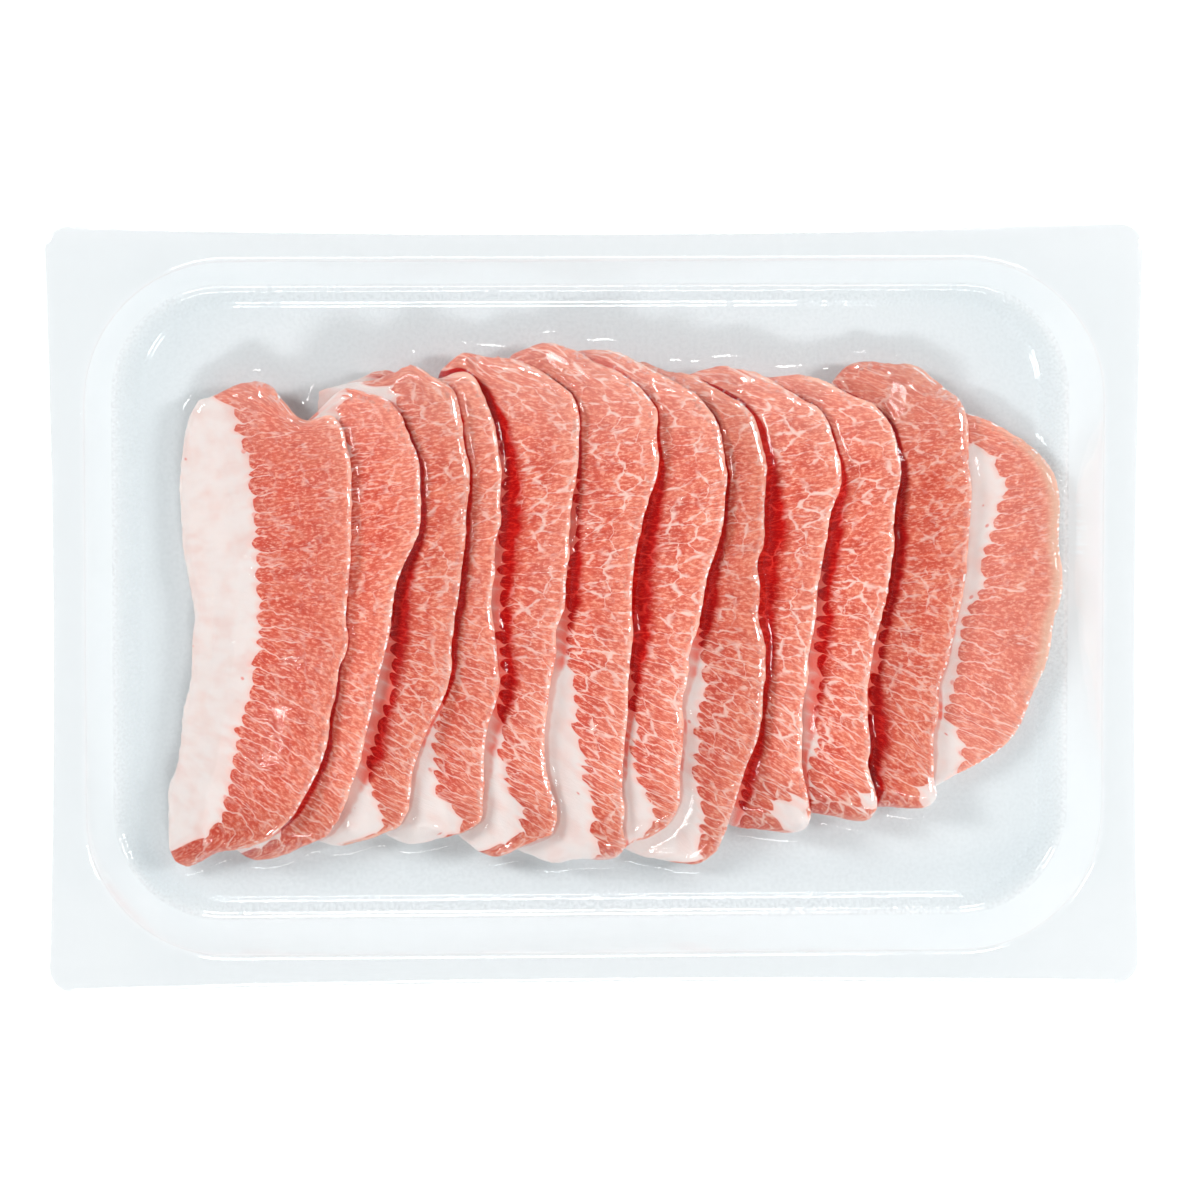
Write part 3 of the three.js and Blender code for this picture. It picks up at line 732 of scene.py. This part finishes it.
def past_the_lobes(tree, at, to_thread, length):
    """How far a point lies past the fat, into which each bundle reaches as a blunt finger."""
    share = maths(tree, "DIVIDE", to_thread, LOBE_WIDTH, clamp=True)
    lobe = maths(tree, "POWER", share, LOBE_BLUNTNESS)
    bulge = maths(tree, "MULTIPLY_ADD", length, LOBE_SPREAD, LOBE_LENGTH)
    uneven = maths(tree, "SUBTRACT", noise(tree, at["flesh"], 9.0, 2.0), 0.5)
    past_all_fat = maths(tree, "MINIMUM", at["past_fat"], at["beyond_knob"])
    reach = maths(tree, "MULTIPLY_ADD", lobe, bulge, past_all_fat)
    return maths(tree, "ADD", reach, maths(tree, "MULTIPLY", uneven, FAT_EDGE_WANDER))


def net(tree, at, cell_size, widths, patch_size, patches):
    """Pale lines round cells, thin in places and thick in others, in patches of the lean."""
    place = stretched(tree, at["flesh"], tuple(1 / size for size in cell_size))
    bend = {"Vector": place, "Scale": 0.9, "Detail": 2.0}
    bent = put(tree, "ShaderNodeTexNoise", bend, noise_dimensions="2D").outputs["Color"]
    shift = put(tree, "ShaderNodeVectorMath", {0: bent, 3: 0.6}, operation="SCALE").outputs[0]
    moved = put(tree, "ShaderNodeVectorMath", {0: place, 1: shift}).outputs[0]
    lines = put(
        tree,
        "ShaderNodeTexVoronoi",
        {"Vector": moved, "Scale": 1.0, "Randomness": 1.0},
        voronoi_dimensions="2D",
        feature="DISTANCE_TO_EDGE",
    )
    width = step_between(tree, noise(tree, at["flesh"], 2.2, 2.0), 0.38, 0.7, *widths)
    distance = maths(tree, "DIVIDE", lines.outputs["Distance"], width)
    patch = step_between(tree, noise(tree, at["flesh"], patch_size, 2.0), *patches)
    return product(tree, step_between(tree, distance, 0.0, 1.0, 1.0, 0.0), patch)


def marbling(tree, at, to_thread):
    """How pale the lean is: threads that run in between the bundles, further in the lower half of
    the slice, a net of marbling, and wisps along the fibres."""
    lower_half = step_between(tree, at["up"], 10 * MM, -30 * MM, -8.0, 3.0)
    patches = noise(tree, at["flesh"], 5.0, 2.0)
    thread_end = maths(tree, "MULTIPLY_ADD", patches, THREAD_REACH, lower_half)
    thread_fade = step_between(tree, maths(tree, "SUBTRACT", thread_end, at["past_fat"]), -3.0, 5.0)
    thread = product(tree, step_between(tree, to_thread, *THREAD_HALF_WIDTH, 1.0, 0.0), thread_fade)
    coarse = product(tree, net(tree, at, **COARSE_NET), at["netting"])
    wisps = product(tree, net(tree, at, **WISPS), WISP_PALENESS)
    thread, coarse = product(tree, thread, THREAD_PALENESS), product(tree, coarse, NET_PALENESS)
    return maths(tree, "MAXIMUM", maths(tree, "MAXIMUM", thread, coarse), wisps)


def colour_of_lean(tree, at, pale, redness, mottle, grain, light_grain):
    """Salmon in faint blotches, redder towards the fat, and grained along its fibres."""
    lean = put(tree, "ShaderNodeValToRGB", {"Fac": mottle})
    stops = lean.color_ramp.elements
    stops[0].position, stops[0].color = 0.28, colour(*LEAN_DARK)
    stops[1].position, stops[1].color = 0.74, colour(*LEAN_LIGHT)
    stops.new(0.5).color = colour(*LEAN_MIDDLE)
    # Redder by the fat and paler by the free edge: partly the meat's own colour, partly painted
    # shade on the side under the slice above and painted light on the raised shoulder.
    redder = maths(tree, "MULTIPLY_ADD", redness, 0.3, 0.3)
    towards_fat = product(tree, step_between(tree, at["past_fat"], -1.0, 6.0, 1.0, 0.0), redder)
    look = mix_colours(tree, towards_fat, lean.outputs["Color"], colour(*BY_THE_FAT))
    towards_rim = step_between(tree, at["rim"], 1.0, 9.0, 0.45, 0.0)
    look = mix_colours(tree, towards_rim, look, colour(*BY_THE_EDGE))
    look = mix_colours(tree, light_grain, look, colour(*LIGHT_FIBRES))
    dark_grain = product(tree, step_between(tree, grain, 0.34, 0.48, 1.0, 0.0), 0.42)
    look = mix_colours(tree, dark_grain, look, colour(*DARK_FIBRES))

    # The upper ends are paler, and so is the whole of the last slice.
    upper_end = step_between(tree, at["up"], 28 * MM, 56 * MM, 0.0, 0.3)
    paler = maths(tree, "MAXIMUM", at["pallor"], upper_end)
    look = mix_colours(tree, paler, look, colour(*UPPER_ENDS))
    look = mix_colours(tree, pale, look, colour(*MARBLING))
    tanned = product(tree, step_between(tree, at["rim"], 1.4, 4.6, 0.7, 0.0), at["tan"])
    look = mix_colours(tree, tanned, look, colour(*TAN_EDGE))
    # Painted light on the rim of the free edge, in patches.
    rim_patches = step_between(tree, noise(tree, at["flesh"], 5.0, 2.0), 0.35, 0.65, 0.2, 0.85)
    rim_light = product(tree, step_between(tree, at["rim"], 0.2, 1.8, 1.0, 0.0), rim_patches)
    return mix_colours(tree, rim_light, look, colour(*PAINTED_RIM_LIGHT))


def colour_of_fat(tree, at, reach):
    """Creamy white in faint pink clouds, with a few tiny spots of blood, pinker by the lean."""
    clouds = step_between(tree, noise(tree, at["flesh"], 6.0, 3.0), 0.4, 0.75, 0.0, 0.7)
    fat = mix_colours(tree, clouds, colour(*FAT_WHITE), colour(*FAT_CLOUD))
    spots = {"Vector": at["flesh"], "Scale": 1 / SPOT_SPACING, "Randomness": 1.0}
    spot_cells = put(tree, "ShaderNodeTexVoronoi", spots, voronoi_dimensions="2D")
    spot_size = put(tree, "ShaderNodeSeparateColor", {0: spot_cells.outputs["Color"]}).outputs[0]
    spot_edge = maths(tree, "MULTIPLY_ADD", spot_size, 0.09, -0.035)
    spot_place = maths(tree, "SUBTRACT", spot_edge, spot_cells.outputs["Distance"])
    spot = step_between(tree, spot_place, -0.02, 0.02, 0.0, 0.7)
    fat = mix_colours(tree, spot, fat, colour(*BLOOD_SPOT))
    blush = step_between(tree, reach, -0.4, 1.5, 0.0, 0.5)
    return mix_colours(tree, blush, fat, colour(*FAT_BLUSH))


def meat_material():
    """Fat and lean in one: which it is at a point follows from how far it lies past the fat."""
    made, tree, output = new_material("raw_jowl")
    at = what_is_written(tree)
    to_thread, length, redness = bundles(tree, at)
    reach = past_the_lobes(tree, at, to_thread, length)
    lean_share = step_between(tree, reach, *LEAN_STARTS)
    pale = marbling(tree, at, to_thread)
    mottle = noise(tree, stretched(tree, at["flesh"], MOTTLE_STRETCH), MOTTLE_SIZE, 2.5, 0.5)
    grain = noise(tree, stretched(tree, at["flesh"], FIBRE_STRETCH), FIBRE_SIZE, 3.0, 0.65)
    light_grain = product(tree, step_between(tree, grain, 0.5, 0.66), 0.62)
    lean = colour_of_lean(tree, at, pale, redness, mottle, grain, light_grain)
    meat = mix_colours(tree, lean_share, colour_of_fat(tree, at, reach), lean)

    # Painted glints along the cut edge, white in short dashes.
    on_edge = maths(tree, "COMPARE", at["rim"], GLINT_INSET, GLINT_HALF_WIDTH)
    dashes = noise(tree, stretched(tree, at["flesh"], (0.5, 1.0, 1.0)), 1.0, 2.0, 0.6)
    painted_glint = product(tree, on_edge, step_between(tree, dashes, 0.54, 0.62))
    meat = mix_colours(tree, painted_glint, meat, GLINT_WHITE)

    # Painted shade in the creases, deep red as if light came only through the flesh.
    ragged = maths(tree, "MULTIPLY_ADD", mottle, 0.5, maths(tree, "SUBTRACT", at["shade"], 0.25))
    crease = step_between(tree, ragged, -0.05, 0.45)
    beside_lean = step_between(tree, reach, -2.5, 0.8)
    fat_shade = mix_colours(tree, beside_lean, SHADE_ON_FAT, SHADE_ON_FAT_BY_LEAN)
    flecks = maths(tree, "MAXIMUM", pale, light_grain)
    lean_shade = mix_colours(tree, flecks, SHADE_ON_LEAN, SHADE_ON_FLECKS)
    # The painted shade's colour, which the meat is multiplied by.
    deep = mix_colours(tree, lean_share, fat_shade, lean_shade)
    meat = mix_colours(tree, crease, meat, deep, "MULTIPLY")

    # Some slices are darker in tone, and the lower ends are darkened with painted shade.
    lower_end_shade = step_between(tree, at["up"], -38 * MM, -56 * MM, 0.0, 0.75)
    toned_and_shaded = product(tree, maths(tree, "MAXIMUM", lower_end_shade, at["tone"]), lean_share)
    meat = mix_colours(tree, toned_and_shaded, meat, TONE_AND_SHADE_TINT, "MULTIPLY")

    relief = put(tree, "ShaderNodeBump", {"Height": grain, "Distance": 0.12 * MM, "Strength": 0.5})
    skin = put(
        tree,
        "ShaderNodeBsdfPrincipled",
        {
            "Base Color": meat,
            "Roughness": 0.42,
            "Specular IOR Level": step_between(tree, crease, 0.0, 0.6, 0.15, 0.02),
            "Subsurface Weight": step_between(tree, crease, 0.0, 0.6, 0.45, 0.0),
            "Subsurface Scale": 1.6 * MM,
            "Subsurface Radius": (1.0, 0.4, 0.3),
            "Normal": relief.outputs[0],
        },
        subsurface_method="BURLEY",
    )
    tree.links.new(skin.outputs[0], output.inputs["Surface"])
    return made


slice_names = [f"slice_{number:02d}" for number in range(1, 13)]
outlines = {name: outline_of(name, number) for number, name in enumerate(slice_names, 1)}
jowl = meat_material()
meat_pieces = []
neighbour = None
for number, name in enumerate(slice_names, 1):
    piece = fine_form(name)
    places = points_of(piece.data)
    cut_unevenly(places, name, number)
    write_flesh(piece.data, places, name, number)
    write_shade(piece.data, places, name, neighbour)
    piece.data.vertices.foreach_set("co", nudged(places, name).ravel())
    piece.data.materials.clear()
    piece.data.materials.append(jowl)
    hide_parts(name)
    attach(piece, "root")
    meat_pieces.append(piece)
    neighbour = name

# ---- The skin film ----------------------------------------------------------------------------
# A clear film, heated and sucked down over the slices, so that it follows every edge, bridges the
# creases between them and is welded to the floor, the wall and the flange of the tray.

FILM_GRAIN = 1.0 * MM
FILM_THICKNESS = 0.12 * MM
FILM_CLEARANCE = 0.1 * MM
FILM_INSET = 0.05 * MM
FILM_SMOOTH_BELOW = math.radians(60)
FILM_BRIDGING = 4
FILM_START = 60 * MM
FILM_GLOSS = 0.02
FOLD_HEIGHT = 0.12 * MM
# The folds gleam only over the meat, within this half length and half width.
MEAT_REACH = (108 * MM, 68 * MM)

# The film starts as a flat sheet with the flange's outline, high over the pack.
columns = round(2 * half_length / FILM_GRAIN)
rows = round(2 * half_width / FILM_GRAIN)
bpy.ops.object.select_all(action="DESELECT")
for piece in (tray, *meat_pieces):
    piece.select_set(True)
bpy.context.view_layer.objects.active = tray
bpy.ops.object.duplicate()
bpy.ops.object.join()
form = bpy.context.object
bpy.ops.object.select_all(action="DESELECT")
bpy.ops.mesh.primitive_grid_add(
    x_subdivisions=columns, y_subdivisions=rows, size=2, location=(0, 0, 0)
)
film = bpy.context.object
film.name = "skin_film_sheet"
places = points_of(film.data)
places[:, 0] *= half_length
places[:, 1] *= half_width
grid_column = np.round((places[:, 0] / half_length + 1) / 2 * columns).astype(int)
grid_row = np.round((places[:, 1] / half_width + 1) / 2 * rows).astype(int)
over = np.abs(places[:, :2]) - (np.array([half_length, half_width]) - OUTER_CORNER)
outside = (over > 0).all(axis=1) & (np.hypot(*over.T) > OUTER_CORNER)
pull = 1 - OUTER_CORNER / np.hypot(*over.T)
places[:, :2] -= np.where(outside[:, None], np.sign(places[:, :2]) * over * pull[:, None], 0)
bow_sides(places)
places[:, :2] *= 1 - FILM_INSET / half_width
places[:, 2] = FILM_START
film.data.vertices.foreach_set("co", places.ravel())

# It is dropped onto the tray and the slices, and drawn taut over what is narrow and deep.
apply_modifier(
    film,
    "SHRINKWRAP",
    target=form,
    wrap_method="PROJECT",
    use_project_z=True,
    use_negative_direction=True,
    use_positive_direction=False,
)
bpy.data.objects.remove(form)
places = points_of(film.data)
bed = np.zeros((rows + 1, columns + 1))
bed[grid_row, grid_column] = places[:, 2]


def around(heights):
    """The mean height of the four points next to each inner point of the grid."""
    return (heights[:-2, 1:-1] + heights[2:, 1:-1] + heights[1:-1, :-2] + heights[1:-1, 2:]) / 4


sheet = bed.copy()
for _ in range(FILM_BRIDGING):
    eased = sheet.copy()
    eased[1:-1, 1:-1] = around(sheet)
    sheet = np.maximum(bed, eased)
places[:, 2] = sheet[grid_row, grid_column] + FILM_CLEARANCE
film.data.vertices.foreach_set("co", places.ravel())
film.data.update()

# A fold is where the film stands above what is round it, and does not face away from the lamps.
stands_up = np.zeros_like(sheet)
stands_up[1:-1, 1:-1] = sheet[1:-1, 1:-1] - around(sheet)
stands_up[1:-1, 1:-1] = around(stands_up)
rise = np.zeros_like(sheet)
rise[:, 1:-1] = sheet[:, 2:] - sheet[:, :-2]
over_meat = (np.abs(places[:, 0]) < MEAT_REACH[0]) & (np.abs(places[:, 1]) < MEAT_REACH[1])
faces_lamps = rise[grid_row, grid_column] < FOLD_HEIGHT
fold = np.clip(stands_up[grid_row, grid_column] / FOLD_HEIGHT, 0, 1) * over_meat * faces_lamps
write_attribute(film.data, "fold", "FLOAT", fold)
apply_modifier(film, "SOLIDIFY", thickness=FILM_THICKNESS, offset=1)
shade_smooth_below(film, FILM_SMOOTH_BELOW)


def faint_haze(tree, place):
    return product(tree, noise(tree, place, 30 * MM, 2.0), 0.003)


def wet_folds(tree, place):
    """The film gleams in short dashes along its folds, most over the upper ends of the slices."""
    fold = put(tree, "ShaderNodeAttribute", attribute_name="fold").outputs["Fac"]
    dashes = step_between(tree, noise(tree, place, 1.8 * MM, 2.0, 0.5), 0.45, 0.6)
    gleam = product(tree, dashes, step_between(tree, fold, 0.45, 0.95))
    strength = step_between(tree, axes_of(tree, place)["Y"], 36 * MM, 48 * MM, 0.16, 0.24)
    return maths(tree, "MULTIPLY_ADD", gleam, strength, FILM_GLOSS)


film.data.materials.clear()
film.data.materials.append(
    clear_plastic(
        "clear_film_sheet",
        tint=(0.985, 0.99, 0.993, 1),
        haze=colour(255, 255, 255),
        haze_share=faint_haze,
        gleam=wet_folds,
        roughness=0.07,
        bump_size=2.5 * MM,
        bump_depth=0.12 * MM,
    )
)
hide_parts("skin_film")
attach(film, "root")
